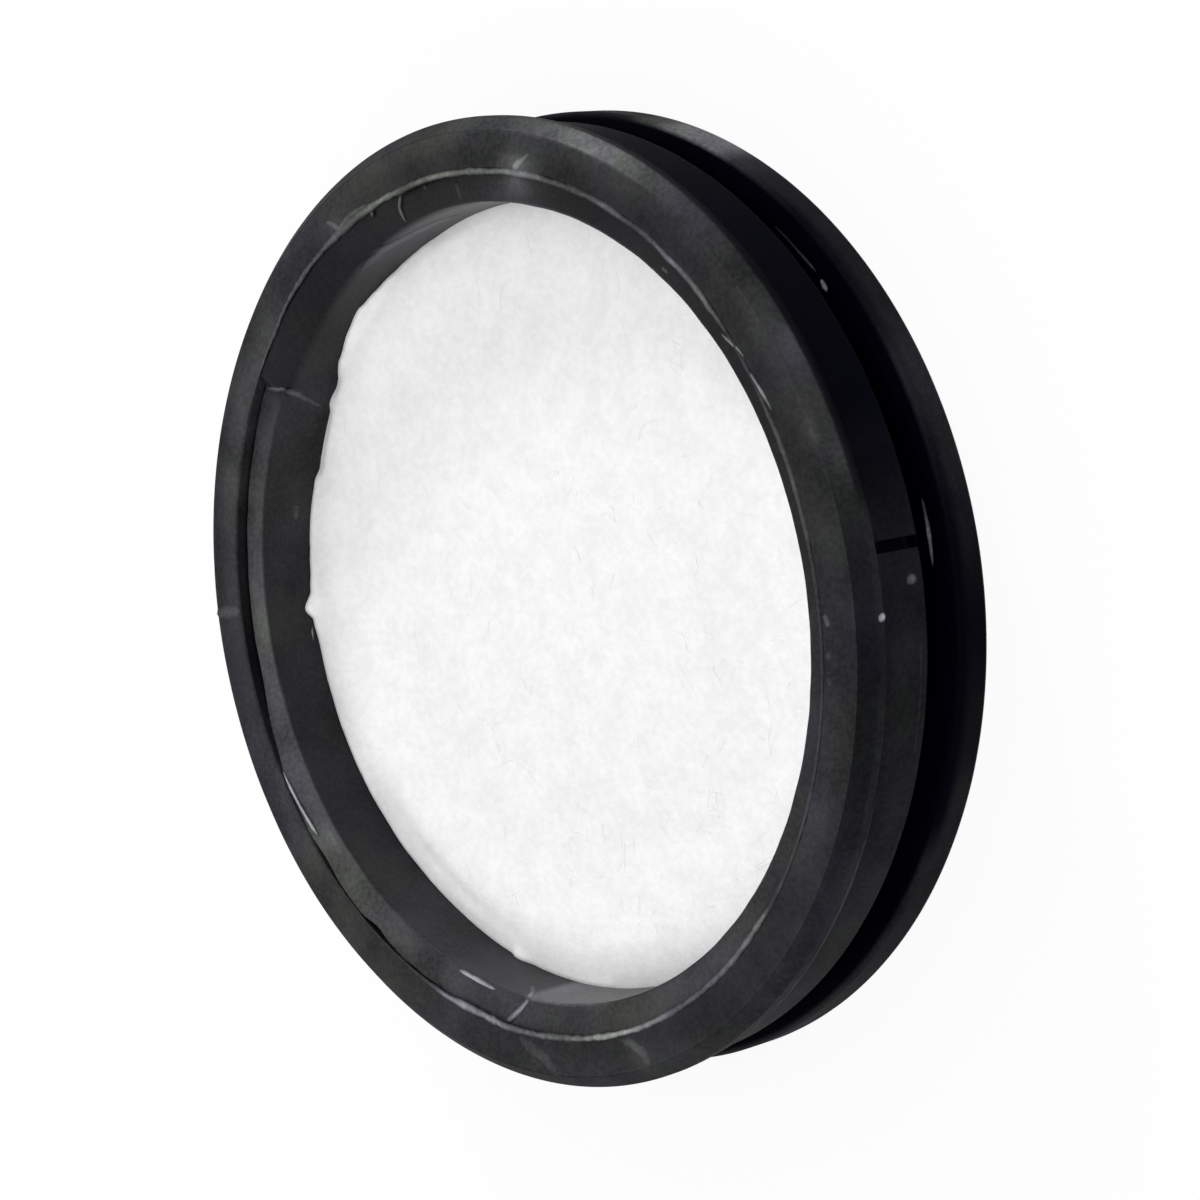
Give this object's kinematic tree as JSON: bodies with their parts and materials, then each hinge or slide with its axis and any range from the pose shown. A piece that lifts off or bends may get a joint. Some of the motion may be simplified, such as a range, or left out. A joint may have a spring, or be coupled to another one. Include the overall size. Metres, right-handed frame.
{
  "type": "cpap filter",
  "caption": "Round clip-in air intake filter: a black rubber ring with two flanges and a groove between them holds a white felt disc under an inner retaining ring.",
  "frame": {"origin": "centre of the rear face, on the ring's axis", "axes": "+Z along the ring's axis, out of the front face; +X through the locating notch in the band"},
  "size_m": [0.064, 0.064, 0.0108],
  "materials": {
    "black_rubber": "smooth moulded rubber with a dull gloss",
    "black_plastic": "smooth moulded plastic, satin",
    "white_felt": "matt non-woven felt"
  },
  "bodies": {
    "root": {"mounting_ring": "black_rubber", "retaining_ring": "black_plastic", "filter_disc": "white_felt"}
  },
  "joints": []
}
